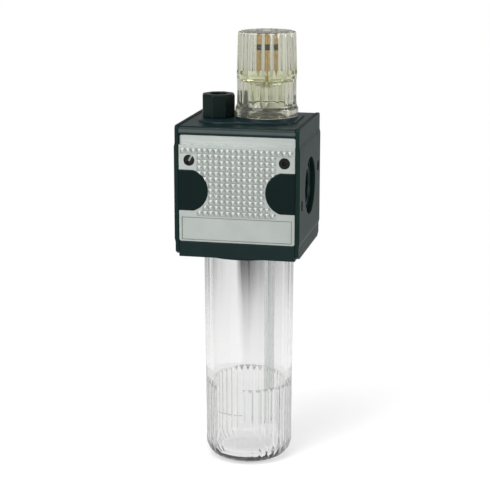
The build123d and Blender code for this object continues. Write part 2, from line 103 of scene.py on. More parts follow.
class DomeSizes(bpy.types.PropertyGroup):
    """Sizes of the clear drip dome, heights above the ports' axis."""

    base: length("Base", "Height of the flange's underside", 28.85)
    flange_radius: length("Flange radius", "Radius of the flange", 13.0)
    flange_height: length("Flange height", "Height of the flange", 3.4)
    shoulder_height: length("Shoulder height", "Height of the cone on the flange", 1.2)
    radius: length("Radius", "Radius over the corners of the waist", 12.4)
    top_radius: length("Top radius", "Radius of the fluted head at its top", 11.9)
    facets: IntProperty(name="Facets", description="Flats round the waist", default=14, min=3)
    facet_turn: FloatProperty(name="Facet turn", description="Turn of the flats, in degrees", default=-5.0)
    corner: length("Corner", "Rounding of the waist's corners", 0.6)
    waist: length("Waist", "Height at which the flats end", 44.2)
    belt: length("Belt", "Height at which the plain belt over the flats ends", 46.4)
    top: length("Top", "Height of the top", 63.5)
    top_round: length("Top round", "Rounding of the top edge", 0.8)
    flute_turn: FloatProperty(name="Flute turn", description="Turn of the flutes, in degrees", default=-0.5)
    flute_radius: length("Flute radius", "Radius of a flute in the head", 5.0)
    flute_depth: length("Flute depth", "Depth of a flute", 0.75)
    spigot_radius: length("Spigot radius", "Radius of the threaded spigot", 10.0)
    spigot_length: length("Spigot length", "Length of the threaded spigot", 9.0)
    chamber_radius: length("Chamber radius", "Radius of the drip chamber", 8.0)
    chamber_top: length("Chamber top", "Height of the drip chamber's ceiling", 43.6)
    boss_radius: length("Boss radius", "Radius of the boss on the ceiling", 6.1)
    boss_bottom: length("Boss bottom", "Height of the boss's underside", 41.4)
    boss_round: length("Boss round", "Rounding of the boss's edge", 0.8)
    socket_radius: length("Socket radius", "Radius of the nozzle's socket", 1.52)
    socket_depth: length("Socket depth", "Depth of the nozzle's socket", 1.5)
    bore: length("Bore", "Radius of the needle's bore", 1.95)
    bore_foot: length("Bore foot", "Height of the needle bore's floor", 46.2)
    passage: length("Passage", "Radius of the oil passage to the nozzle", 0.85)
    seal_spread: length("Seal spread", "How far the needle's pressed seal spreads up and down", 0.07)
    seal_press: length("Seal press", "How far the needle's seal presses into the wall of its bore", 0.03)
    seal_edge: length("Seal edge", "Rounding of the pressed seal's edges", 0.08)
    pitch: length("Thread pitch", "Pitch of the spigot's thread", 1.5)


class PlugSizes(bpy.types.PropertyGroup):
    """Sizes of the filler plug, heights above the ports' axis."""

    sides: IntProperty(name="Sides", description="Flats round the head", default=8, min=3)
    turn: FloatProperty(name="Turn", description="Turn of the flats, in degrees", default=-7.2)
    radius: length("Radius", "Radius over the corners of the head", 7.2)
    corner: length("Corner", "Rounding of the head's corners", 0.9)
    base: length("Base", "Height of the head's underside", 27.75)
    top: length("Top", "Height of the head's top", 37.3)
    edge: length("Edge", "Rounding of the top edge", 0.9)
    recess_radius: length("Recess radius", "Radius of the recess in the top", 3.6)
    recess_depth: length("Recess depth", "Depth of the recess in the top", 2.5)
    spigot_radius: length("Spigot radius", "Radius of the threaded spigot", 5.0)
    spigot_length: length("Spigot length", "Length of the threaded spigot", 8.0)
    pitch: length("Thread pitch", "Pitch of the spigot's thread", 1.5)


class PlateSizes(bpy.types.PropertyGroup):
    """Sizes of the embossed front plate, heights above the ports' axis."""

    pitch: length("Pitch", "Distance between the middles of neighbouring studs", 2.34)
    rise: length("Rise", "Height of a stud", 0.4)
    first_row: length("First row", "Height of the top row of studs", 16.9)
    corner: length("Corner", "Rounding of the plate's corners", 0.9)
    edge: length("Edge", "Softening of the plate's front edge", 0.3)
    band_bottom: length("Band bottom", "Height at which the plain band at the top begins", 19.4)
    band_setback: length("Band setback", "How far back the plain band lies", 1.3)
    label_half_width: length("Label half width", "Half the width of the bare label panel", 22.9)
    label_top: length("Label top", "Height of the label panel's top", -10.4)
    label_bottom: length("Label bottom", "Height of the label panel's bottom", -19.9)
    label_depth: length("Label depth", "Depth of the label panel", 0.15)
    line_width: length("Line width", "Width of the fine line round the label panel", 0.3)
    line_depth: length("Line depth", "Depth of the fine line round the label panel", 0.4)
    sink: length("Sink", "How far the valleys between the studs lie behind the plate's face", 0.05)
    cover_radius: length("Cover radius", "Radius of the opening for a cover", 8.85)
    cover_half_height: length("Cover half height", "Half the height of the opening for a cover", 8.45)
    cover_height: length("Cover height", "Height of the covers' middle", 0.7)
    cover_inset: length("Cover inset", "Distance of the cover's centre from the plate's edge", 3.4)
    screw_radius: length("Screw radius", "Radius of the opening for a screw's head", 2.3)
    screw_inset: length("Screw inset", "Distance of a screw from the plate's edge", 4.4)
    screw_height: length("Screw height", "Height of the screws", 13.1)


class FinishColours(bpy.types.PropertyGroup):
    """Colours of the finishes."""

    casting: tint("Casting", "Satin black of the head casting", (0.004, 0.017, 0.017))
    # Grey highlight painted into the colour along the head's top edge.
    edge_highlight: tint("Rubbed paint", "Grey of the paint rubbed along the head's top edge", (0.085, 0.108, 0.104))
    side: tint("Side plates", "Fine satin black of the side plates", (0.007, 0.024, 0.020))
    moulded: tint("Covers", "Satin black of covers and plug", (0.002, 0.011, 0.010))
    insert: tint("Insert", "Blue-black of the top insert", (0.008, 0.022, 0.026))
    silver: tint("Front plate", "Satin silver of the front plate", (0.57, 0.61, 0.585))
    brass: tint("Brass", "Turned brass", (0.53, 0.36, 0.14))
    rubber: tint("Rubber", "Black rubber of the seals", (0.008, 0.009, 0.009))
    nylon: tint("Nylon", "Natural nylon", (0.75, 0.74, 0.68))
    steel: tint("Steel", "Polished steel", (0.62, 0.62, 0.62))
    bowl: tint("Bowl", "Clear polycarbonate of the bowl", (0.985, 0.99, 0.985))
    dome: tint("Dome", "Faint yellow-green of the dome", (0.86, 0.87, 0.72))
    dome_edge: tint("Dome belt", "Deeper yellow-green in the dome's belt", (0.82, 0.84, 0.54))
    tube: tint("Tube", "Clear tube", (0.86, 0.88, 0.87))


class StudioLight(bpy.types.PropertyGroup):
    """Light and floor of the studio."""

    ambient: FloatProperty(name="Ambient", description="Strength of the even light from all round", default=0.55, min=0)
    key: FloatProperty(name="Key", description="Power of the lamp at the upper left, in watts", default=1.6, min=0)
    side: FloatProperty(name="Side", description="Power of the lamp at the right, in watts", default=1.2, min=0)
    front: FloatProperty(name="Front", description="Power of the low lamp at the front left, in watts", default=1.3, min=0)
    top: FloatProperty(name="Top", description="Power of the lamp over the front, in watts", default=1.3, min=0)
    panels: IntProperty(name="Panels", description="Grey panels round the room", default=10, min=1)
    first_panel: FloatProperty(name="First panel", description="Heading of a panel's edge", default=0.227, subtype="ANGLE")
    floor_radius: length("Floor radius", "Radius of the pale floor", 130.0)


class LubricatorSettings(bpy.types.PropertyGroup):
    """Everything that a user may change."""

    bowl: PointerProperty(type=BowlSizes, name="Bowl", description="Sizes of the bowl")
    dome: PointerProperty(type=DomeSizes, name="Dome", description="Sizes of the dome")
    plug: PointerProperty(type=PlugSizes, name="Plug", description="Sizes of the filler plug")
    plate: PointerProperty(type=PlateSizes, name="Plate", description="Sizes of the front plate")
    colours: PointerProperty(type=FinishColours, name="Colours", description="Colours of the finishes")
    studio: PointerProperty(type=StudioLight, name="Studio", description="Light and floor")


class Link:
    """A value on its way through a material. Sums, products and powers of it add Math nodes."""

    def __init__(self, shader, socket):
        self.shader = shader
        self.socket = socket

    def math(self, operation, *others):
        """One Math node on this value and the others."""
        return self.shader.node("ShaderNodeMath", {"operation": operation}, dict(enumerate((self, *others))))

    def __add__(self, other):
        return self.math("ADD", other)

    def __sub__(self, other):
        return self.math("SUBTRACT", other)

    def __neg__(self):
        return self * -1.0

    def __mul__(self, other):
        return self.math("MULTIPLY", other)

    def __truediv__(self, other):
        return self.math("DIVIDE", other)

    def __pow__(self, other):
        return self.math("POWER", other)

    def __rsub__(self, other):
        return self * -1.0 + other

    __radd__ = __add__
    __rmul__ = __mul__

    def clamped(self):
        """The value held between 0 and 1."""
        return self.math("MAXIMUM", 0.0).math("MINIMUM", 1.0)

    def step(self, low, high):
        """0 below low, 1 above high and a smooth rise between them."""
        settings = {"interpolation_type": "SMOOTHSTEP"}
        return self.shader.node("ShaderNodeMapRange", settings, {"Value": self, "From Min": low, "From Max": high})


class Shader:
    """Node tree of a material or world, with one method that adds a node."""

    def __init__(self, owner):
        owner.use_nodes = True
        self.tree = owner.node_tree
        self.tree.nodes.clear()

    def node(self, kind, settings=None, values=None, out=0):
        """A node of that type: its settings first, then the values or links of its sockets."""
        node = self.tree.nodes.new(kind)
        for key, value in (settings or {}).items():
            if key == "stops":
                ramp = node.color_ramp.elements
                while len(ramp) < len(value):
                    ramp.new(0.5)
                for element, (place, colour) in zip(ramp, value):
                    element.position = place
                    element.color = (*colour, 1.0) if len(colour) == 3 else colour
            else:
                setattr(node, key, value)
        for key, value in (values or {}).items():
            socket = node.inputs[key]
            if isinstance(value, Link):
                self.tree.links.new(value.socket, socket)
            elif socket.type == "RGBA":
                socket.default_value = (*value, 1.0)[:4]
            else:
                socket.default_value = value
        return Link(self, node.outputs[out]) if node.outputs else node

    def place(self, scale=(1.0, 1.0, 1.0), shift=(0.0, 0.0, 0.0)):
        """The object's own coordinates, shifted and scaled."""
        here = self.node("ShaderNodeTexCoord", out="Object")
        return self.node("ShaderNodeMapping", {}, {"Vector": here, "Location": shift, "Scale": scale})

    def noise(self, where, scale, detail=2.0, roughness=0.5, out="Fac"):
        """Smooth noise with about scale bumps a metre."""
        values = {"Vector": where, "Scale": scale, "Detail": detail, "Roughness": roughness}
        return self.node("ShaderNodeTexNoise", {}, values, out)

    def mix(self, share, low, high):
        """A colour between low and high."""
        values = {0: share, 6: low, 7: high}
        return self.node("ShaderNodeMix", {"data_type": "RGBA"}, values, out=2)

    def parts(self, vector):
        """The three numbers of a vector."""
        split = self.node("ShaderNodeSeparateXYZ", {}, {0: vector})
        return [Link(self, socket) for socket in split.socket.node.outputs]

    def bump(self, height, distance, rounding=0.0):
        """A normal raised by a height field of that depth, over edges softened by that rounding, in metres."""
        values = {"Height": height, "Distance": distance}
        if rounding:
            values["Normal"] = self.node("ShaderNodeBevel", {"samples": 8}, {"Radius": rounding})
        return self.node("ShaderNodeBump", {}, values)

    def surface(self, **values):
        """Principled surface that goes to the material's output."""
        named = {key.replace("_", " ").title().replace("Ior", "IOR"): value for key, value in values.items()}
        look = self.node("ShaderNodeBsdfPrincipled", {}, named)
        self.node("ShaderNodeOutputMaterial", {}, {"Surface": look})


def lighter(colour, factor):
    """A colour made lighter or darker by a factor, within 0 to 1."""
    return tuple(min(1.0, value * factor) for value in colour)


def grained(name, colour, roughness, grain, depth, spread=0.08, rounding=0.0, gloss=0.25, edge_highlight=None):
    """Satin black moulding or paint: fine grain, soft blotches and a grey highlight painted into the colour in a band
    of heights.
    """
    shader = Shader(material := bpy.data.materials.new(name))
    where = shader.place()
    fine = shader.noise(where, 1 / grain, 3.0, 0.6)
    broad = shader.noise(where, 90.0, 4.0, 0.55)
    tone = shader.mix(broad, lighter(colour, 0.72), lighter(colour, 1.3))
    # Painted highlight: in this band of heights the colour turns grey, in place of the lamps' reflection on the rounded
    # edge.
    if edge_highlight:
        low, high, blur, painted_highlight = edge_highlight
        height = shader.parts(where)[2]
        band = height.step(low - blur, low + blur) * (1.0 - height.step(high - blur, high + blur))
        tone = shader.mix(band * (broad * 0.6 + 0.55), tone, painted_highlight)
    rough = broad * spread + (fine * spread + (roughness - spread))
    shader.surface(
        base_color=tone, roughness=rough.clamped(), specular_ior_level=gloss,
        normal=shader.bump(fine, depth, rounding),
    )
    return material


def brushed_metal(name, colour, roughness, grain, depth, across=(1.0, 1.0, 1.0)):
    """Metal with a fine grain that may be drawn out along an axis, and faint stains."""
    shader = Shader(material := bpy.data.materials.new(name))
    where = shader.place(across)
    fine = shader.noise(where, 1 / grain, 3.0, 0.6)
    broad = shader.noise(shader.place(), 120.0, 3.0, 0.5)
    tone = shader.mix(broad, lighter(colour, 0.9), lighter(colour, 1.08))
    shader.surface(
        base_color=tone, metallic=1.0, roughness=(fine * 0.12 + (roughness - 0.06)).clamped(),
        normal=shader.bump(fine, depth),
    )
    return material


def clear_plastic(name, colour, roughness, ripple, clearness=1.0, deep=None, belt=()):
    """Clear moulding: faint flow ripples in its surface, a little haze and milkiness, deeper tint in a belt."""
    shader = Shader(material := bpy.data.materials.new(name))
    flow = shader.noise(shader.place((1.0, 1.0, 0.25)), 160.0, 1.5, 0.4)
    haze = shader.noise(shader.place(), 420.0, 3.0, 0.6)
    tone = shader.mix(haze, lighter(colour, 0.98), lighter(colour, 1.02))
    if deep is not None:
        low, high, blur = belt
        height = shader.parts(shader.place())[2]
        tone = shader.mix(height.step(low - blur, low) * (1.0 - height.step(high, high + blur)), tone, tuple(deep))
    shader.surface(
        base_color=tone, roughness=(haze * 0.03 + (roughness - 0.01)).clamped(), ior=1.58,
        transmission_weight=clearness, normal=shader.bump(flow, ripple),
    )
    return material


def trace(corners, step):
    """Profile line through (radius, height, round) corners, as an (n, 2) array.

    A corner that turns by t gets an arc of its round q, which starts q * tan(t / 2) before the
    corner and stays q from its centre. Straight runs and arcs are divided into equal steps.
    """
    line = [np.array(corners[0][:2])]
    for before, corner, after in zip(corners, corners[1:], corners[2:]):
        here = np.array(corner[:2])
        back = np.array(before[:2]) - here
        onward = np.array(after[:2]) - here
        back = back / np.hypot(*back)
        onward = onward / np.hypot(*onward)
        inner = np.arccos(np.clip(back @ onward, -1, 1))
        if corner[2] <= 0 or inner > np.pi - 1e-4:
            line.append(here)
            continue
        reach = corner[2] / np.tan(inner / 2)
        centre = here + (back + onward) / np.hypot(*(back + onward)) * corner[2] / np.sin(inner / 2)
        start, end = here + back * reach - centre, here + onward * reach - centre
        turn = np.arctan2(start[0] * end[1] - start[1] * end[0], start @ end)
        angles = np.linspace(0, turn, max(3, int(abs(turn) * corner[2] / step)))
        cosine, sine = np.cos(angles), np.sin(angles)
        arc = np.stack([start[0] * cosine - start[1] * sine, start[0] * sine + start[1] * cosine], axis=1)
        line.extend(arc + centre)
    line.append(np.array(corners[-1][:2]))
    return np.array(line)


def paced(line, gaps):
    """The same line with its points spaced by gap, as (low, high, gap) bands of height and a last plain gap.

    A place at length s along the line gets number N(s), the integral of ds / gap, and the points
    are those where N is a whole number.
    """
    steps = np.hypot(*np.diff(line, axis=0).T)
    along = np.concatenate([[0], np.cumsum(steps)])
    dense = np.unique(np.concatenate([np.arange(0, along[-1], 0.02 * MM), along]))
    points = np.stack([np.interp(dense, along, line[:, 0]), np.interp(dense, along, line[:, 1])], axis=1)
    gap = np.full(len(dense), gaps[-1])
    for low, high, value in gaps[:-1]:
        gap = np.where((points[:, 1] >= low) & (points[:, 1] <= high), np.minimum(gap, value), gap)
    number = np.concatenate([[0], np.cumsum(np.diff(dense) / gap[1:])])
    number *= np.ceil(number[-1]) / number[-1]
    places = np.interp(np.arange(round(number[-1]) + 1), number, dense)
    return np.stack([np.interp(places, along, line[:, 0]), np.interp(places, along, line[:, 1])], axis=1)


def joined(*lines):
    """Lines end to end, without the points that they share."""
    whole = np.concatenate(lines)
    keep = np.concatenate([[True], np.hypot(*np.diff(whole, axis=0).T) > 1e-9])
    return whole[keep]


def polygon(angle, sides, apothem, corner):
    """Distance from the axis to a rounded polygon, with a flat's middle at angle 0.

    On a flat it is apothem / cos(a); near a corner it is the far side of a circle of the corner's
    round, whose centre lies (apothem - corner) / cos(pi / sides) out.
    """
    half = np.pi / sides
    off = np.abs((angle + half) % (2 * half) - half)
    centre = (apothem - corner) / np.cos(half)
    from_corner = half - off
    bend = centre * np.cos(from_corner) + np.sqrt(np.maximum(corner ** 2 - (centre * np.sin(from_corner)) ** 2, 0))
    on_flat = off <= np.arctan((apothem - corner) * np.tan(half) / apothem)
    return np.where(on_flat, apothem / np.cos(off), bend)


def flutes(angle, count, radius, flute, depth):
    """Distance from the axis to a fluted round, with a flute's middle at angle 0.

    A flute is a circle of its own radius, centred radius + flute - depth out; the outline is the
    nearer of its near side and the round itself.
    """
    half = np.pi / count
    off = (angle + half) % (2 * half) - half
    out = radius + flute - depth
    inside = flute ** 2 - (out * np.sin(off)) ** 2
    near = out * np.cos(off) - np.sqrt(np.maximum(inside, 0))
    return np.where(inside > 0, np.minimum(near, radius), radius)


def thread(angle, height, low, high, pitch, depth):
    """Depth of a right-hand screw thread: a soft wave along height - pitch * angle / turn.

    It fades to nothing over half a pitch at both ends.
    """
    wave = 0.5 - 0.5 * np.cos(TURN * (height / pitch - angle / TURN))
    fade = np.clip(np.minimum(height - low, high - height) / (0.5 * pitch), 0, 1)
    return depth * wave ** 0.7 * fade


def smooth(value, low, high):
    """0 below low, 1 above high, and 3 t^2 - 2 t^3 between them."""
    share = np.clip((value - low) / (high - low), 0, 1)
    return share * share * (3 - 2 * share)


def skin(name, radius, height, angle, x=0.0, loop=False):
    """Closed mesh of a grid: rows along a profile, columns round an upright axis at x.

    A point is (x + r cos a, r sin a, h). With loop the last row joins the first; without it the
    first and last rows are poles. The faces are turned outwards by the sign of their volume, the
    sum of a . (b x c) / 6.
    """
    grid = np.stack([x + radius * np.cos(angle), radius * np.sin(angle), height + 0 * angle], axis=-1)
    rows, columns = grid.shape[:2]
    if loop:
        points = grid.reshape(-1, 3)
        index = np.arange(rows * columns).reshape(rows, columns)
        index = np.concatenate([index, index[:1]])
    else:
        points = np.concatenate([grid[:1, 0], grid[1:-1].reshape(-1, 3), grid[-1:, 0]])
        index = np.arange((rows - 2) * columns).reshape(rows - 2, columns) + 1
        last = len(points) - 1
        index = np.concatenate([np.zeros((1, columns), int), index, np.full((1, columns), last)])
    after = np.roll(index, -1, axis=1)
    quads = np.stack([index[:-1], after[:-1], after[1:], index[1:]], axis=-1)
    if loop:
        fans = np.zeros((0, 3), int)
        quads = quads.reshape(-1, 4)
    else:
        fans = np.concatenate([quads[0][:, [0, 2, 3]], quads[-1][:, [0, 1, 2]]])
        quads = quads[1:-1].reshape(-1, 4)
    triangles = np.concatenate([quads[:, :3], quads[:, [0, 2, 3]], fans])
    a, b, c = (points[triangles[:, corner]] for corner in range(3))
    if np.einsum("ij,ij->", a, np.cross(b, c)) < 0:
        quads, fans = quads[:, ::-1], fans[:, ::-1]
    mesh = bpy.data.meshes.new(name)
    mesh.from_pydata(points.tolist(), [], quads.tolist() + fans.tolist())
    mesh.validate()
    mesh.shade_smooth()
    mesh.set_sharp_from_angle(angle=np.radians(32))
    return mesh


def put(name, mesh, material, body, slot, *nodes):
    """A piece with its finish, the body that it rides on and the nodes that it stands for."""
    piece = bpy.data.objects.new(name, mesh)
    bpy.context.scene.collection.objects.link(piece)
    mesh.materials.append(material)
    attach(piece, body)
    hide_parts(*nodes)
    return piece


def dress(material, *nodes):
    """Gives a finish to nodes that keep their own solids."""
    for node in nodes:
        mesh = frame["nodes"][node].data
        mesh.materials.clear()
        mesh.materials.append(material)


class LUBRICATOR_OT_bowl(bpy.types.Operator):
    """Clear oil bowl with its threaded neck, grip ribs and smooth window"""

    bl_idname = "lubricator.bowl"
    bl_label = "Oil bowl"

    def execute(self, context):
        settings = context.scene.lubricator
        s = settings.bowl
        inner_top = s.neck_radius - s.neck_wall
        inner_foot = inner_top - s.draft
        outer = trace([(0, 0, 0), (s.foot_radius, 0, s.foot_round), (s.top_radius, s.shoulder, 0)], 0.2 * MM)
        groove = 1.44 * MM
        half = 0.8 * MM
        neck = trace([
            (s.top_radius, s.shoulder, 0), (s.neck_radius, s.shoulder, 0),
            (s.neck_radius, s.ring_height - half, 0), (s.neck_radius - groove, s.ring_height - half, 0),
            (s.neck_radius - groove, s.ring_height + half, 0), (s.neck_radius, s.ring_height + half, 0),
            (s.neck_radius, s.neck_top, 0), (inner_top, s.neck_top, 0),
        ], 0.2 * MM)
        inner = trace([(inner_top, s.neck_top, 0), (inner_foot, s.floor, s.inner_round), (0, s.floor, 0)], 0.2 * MM)
        outer = paced(outer, [
            (0.01 * MM, s.foot_round, 0.5 * MM),
            (s.window_foot - 0.5 * MM, s.window_foot + 0.5 * MM, 0.12 * MM),
            (s.rib_top - 0.8 * MM, s.rib_top + 0.8 * MM, 0.15 * MM), 3 * MM,
        ])
        neck = paced(neck, [(s.shoulder + 0.3 * MM, s.ring_height - 1.2 * MM, 0.25 * MM), 0.3 * MM])
        inner = paced(inner, [(s.floor + 0.01 * MM, s.floor + s.inner_round, 0.6 * MM), 5 * MM])
        line = joined(outer, neck, inner)
        rows = np.arange(len(line))
        columns = 15 * s.ribs
        angle = np.linspace(0, TURN, columns, endpoint=False)[None, :]
        r, z = line[:, :1], line[:, 1:]
        front = np.degrees((angle + np.pi / 2 + np.pi) % TURN - np.pi)
        share = ((front - s.window_end) * s.ribs / 360) % 1
        crest = np.clip(1 - ((share - 0.5) / 0.32) ** 2, 0, 1)
        middle = (s.window_start + s.window_end) / 2
        reach = (s.window_end - s.window_start) / 2
        panel = 1 - smooth(np.abs(front - middle), reach - 0.4, reach + 0.4)
        crest = crest * (1 - smooth(-np.abs(front - middle), -reach - 1.0, -reach))
        above = smooth(z, s.rib_top - 1.3 * MM, s.rib_top + 0.3 * MM)
        window = panel * smooth(z, s.window_foot - 0.3 * MM, s.window_foot + 0.3 * MM)
        full = np.maximum(above, np.maximum(window, crest))
        outside = (rows < len(outer))[:, None]
        cut = s.rib_rise * (1 - full) * outside * smooth(z, 0, 1.2 * MM)
        turned = (rows > len(outer)) & (rows < len(outer) + len(neck)) & (line[:, 0] > s.neck_radius - 0.01 * MM)
        cut = cut + turned[:, None] * thread(
            angle, z, s.shoulder + 0.6 * MM, s.ring_height - 1.2 * MM, s.pitch, 0.9 * MM
        )
        mesh = skin("oil_bowl", np.maximum(r - cut, 0), z, angle)
        clear = clear_plastic("clear_bowl", settings.colours.bowl, 0.015, 0.00002, 0.985)
        put("oil_bowl", mesh, clear, "bowl", "clear_bowl", "bowl")
        return {"FINISHED"}


class LUBRICATOR_OT_dome(bpy.types.Operator):
    """Clear drip dome with its flange, facetted waist, fluted head and needle bore"""

    bl_idname = "lubricator.dome"
    bl_label = "Drip dome"

    def execute(self, context):
        settings = context.scene.lubricator
        s = settings.dome
        shoulder = s.base + s.flange_height
        cone_top = shoulder + s.shoulder_height
        ceiling = s.boss_bottom + s.socket_depth
        foot = s.base - s.spigot_length
        head = paced(trace([
            (s.bore, s.top, 0), (s.top_radius, s.top, s.top_round), (s.radius, s.belt + 0.02 * MM, 0),
        ], 0.1 * MM), [(s.top - s.top_round, s.top, 0.25 * MM), (s.belt, s.belt + 0.3 * MM, 0.1 * MM), 2.5 * MM])
        belt = paced(trace([
            (s.radius, s.belt - 0.02 * MM, 0), (s.radius, s.waist + 0.02 * MM, 0),
        ], 0.2 * MM), [0.7 * MM])
        waist = paced(trace([
            (s.radius, s.waist - 0.02 * MM, 0), (s.radius, cone_top, 0),
        ], 0.2 * MM), [(s.waist - 0.3 * MM, s.waist, 0.1 * MM), 2 * MM])
        flange = paced(trace([
            (s.radius, cone_top - 0.02 * MM, 0), (s.flange_radius, shoulder, 0.4 * MM),
            (s.flange_radius, s.base, 0.3 * MM), (s.spigot_radius, s.base, 0),
        ], 0.1 * MM), [0.3 * MM])
        spigot = paced(trace([
            (s.spigot_radius, s.base, 0), (s.spigot_radius, foot, 0.3 * MM), (s.chamber_radius, foot, 0.2 * MM),
            (s.chamber_radius, foot + 0.5 * MM, 0),
        ], 0.1 * MM), [0.2 * MM])
        inside = paced(trace([
            (s.chamber_radius, foot + 0.5 * MM, 0), (s.chamber_radius, s.chamber_top, 0.4 * MM),
            (s.boss_radius, s.chamber_top, 0.3 * MM), (s.boss_radius, s.boss_bottom, s.boss_round),
            (s.socket_radius, s.boss_bottom, 0), (s.socket_radius, ceiling, 0), (s.passage, ceiling, 0),
            (s.passage, s.bore_foot, 0), (s.bore, s.bore_foot, 0), (s.bore, s.top, 0),
        ], 0.1 * MM), [(s.boss_bottom - 0.2 * MM, s.bore_foot + 0.2 * MM, 0.2 * MM), 2.5 * MM])
        line = joined(head, belt, waist, flange, spigot, inside[:-1])
        rows = np.arange(len(line))
        angle = np.linspace(0, TURN, 27 * s.facets, endpoint=False)[None, :]
        from_flat = angle - np.radians(s.facet_turn) - np.pi / s.facets
        apothem = s.radius * np.cos(np.pi / s.facets)
        r, z = line[:, :1], PORT + line[:, 1:]
        at_head = (rows < len(head))[:, None]
        belt_end = len(head) + len(belt)
        at_waist = ((rows >= belt_end) & (rows < belt_end + len(waist) - 1))[:, None]
        from_flute = angle - np.radians(s.flute_turn)
        fluted = flutes(from_flute, s.facets, s.radius, s.flute_radius, s.flute_depth) / s.radius
        ease = smooth(r, 0.7 * s.top_radius, 0.93 * s.top_radius)
        facetted = polygon(from_flat, s.facets, apothem, s.corner) / s.radius
        around = np.where(at_head, 1 + (fluted - 1) * ease, np.where(at_waist, facetted, 1.0))
        on_spigot = (np.abs(line[:, 0] - s.spigot_radius) < 0.01 * MM) & (rows > belt_end + len(waist))
        cut = on_spigot[:, None] * thread(
            angle, line[:, 1:], foot + 0.4 * MM, s.base - 1.8 * MM, s.pitch, 0.55 * MM
        )
        mesh = skin("drip_dome", r * around - cut, z, angle, DOME_X, loop=True)
        clear = clear_plastic("clear_dome", settings.colours.dome, 0.02, 0.00001, 0.955, settings.colours.dome_edge, (
            PORT + s.waist - 0.6 * MM, PORT + s.belt + 0.6 * MM, 0.7 * MM))
        put("drip_dome", mesh, clear, "dome", "clear_dome", "sight_dome")
        dress(clear, "drip_nozzle")
        return {"FINISHED"}


class LUBRICATOR_OT_seal(bpy.types.Operator):
    """O-ring of the needle, pressed flat between its groove and the dome's bore"""

    bl_idname = "lubricator.seal"
    bl_label = "Needle seal"

    def execute(self, context):
        settings = context.scene.lubricator
        low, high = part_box("needle_o_ring")
        middle = (low[2] + high[2]) / 2
        half = (high[2] - low[2]) / 2 + settings.dome.seal_spread
        outer = settings.dome.bore + settings.dome.seal_press
        inner = (high[0] - low[0]) / 2 - (high[2] - low[2])
        edge = settings.dome.seal_edge
        line = trace([
            (inner, middle, 0), (inner, middle + half, edge), (outer, middle + half, edge),
            (outer, middle - half, edge), (inner, middle - half, edge), (inner, middle, 0),
        ], 0.02 * MM)[:-1]
        angle = np.linspace(0, TURN, 96, endpoint=False)[None, :]
        mesh = skin("needle_seal", line[:, :1] + 0 * angle, line[:, 1:], angle, DOME_X, loop=True)
        rubber = grained("needle_rubber", settings.colours.rubber, 0.55, 0.20 * MM, 0.00002)
        put("needle_seal", mesh, rubber, "needle_ring", "seal", "needle_o_ring")
        return {"FINISHED"}


class LUBRICATOR_OT_plug(bpy.types.Operator):
    """Filler plug with a softened eight-sided head, a round recess and its threaded spigot"""

    bl_idname = "lubricator.plug"
    bl_label = "Filler plug"

    def execute(self, context):
        settings = context.scene.lubricator
        s = settings.plug
        foot = s.base - s.spigot_length
        floor = s.top - s.recess_depth
        head = paced(trace([
            (0, floor, 0), (s.recess_radius, floor, 0.3 * MM), (s.recess_radius, s.top, 0.4 * MM),
            (s.radius, s.top, s.edge), (s.radius, s.base, 0.2 * MM), (s.spigot_radius, s.base, 0),
        ], 0.05 * MM), [(floor, s.top, 0.2 * MM), 0.6 * MM])
        spigot = paced(trace([
            (s.spigot_radius, s.base, 0), (s.spigot_radius, foot, 0.4 * MM), (0, foot, 0),
        ], 0.1 * MM), [0.15 * MM])
        line = joined(head, spigot)
        angle = np.linspace(0, TURN, 30 * s.sides, endpoint=False)[None, :]
        from_flat = angle - np.radians(s.turn) - np.pi / s.sides
        apothem = s.radius * np.cos(np.pi / s.sides)
        r, z = line[:, :1], line[:, 1:]
        on_head = (np.arange(len(line)) < len(head))[:, None]
        ease = smooth(r, 0.62 * s.radius, 0.86 * s.radius) * on_head
        sided = 1 + (polygon(from_flat, s.sides, apothem, s.corner) / s.radius - 1) * ease
        on_spigot = ~on_head & (np.abs(r - s.spigot_radius) < 0.01 * MM)
        cut = on_spigot * thread(angle, z, foot + 0.5 * MM, s.base - 1.8 * MM, s.pitch, 0.55 * MM)
        mesh = skin("plug_body", r * sided - cut, PORT + z, angle, PLUG_X)
        black = grained("plug_black", settings.colours.moulded, 0.32, 0.35 * MM, 0.00003, gloss=0.22)
        put("plug_body", mesh, black, "plug", "plug", "filler_plug")
        return {"FINISHED"}


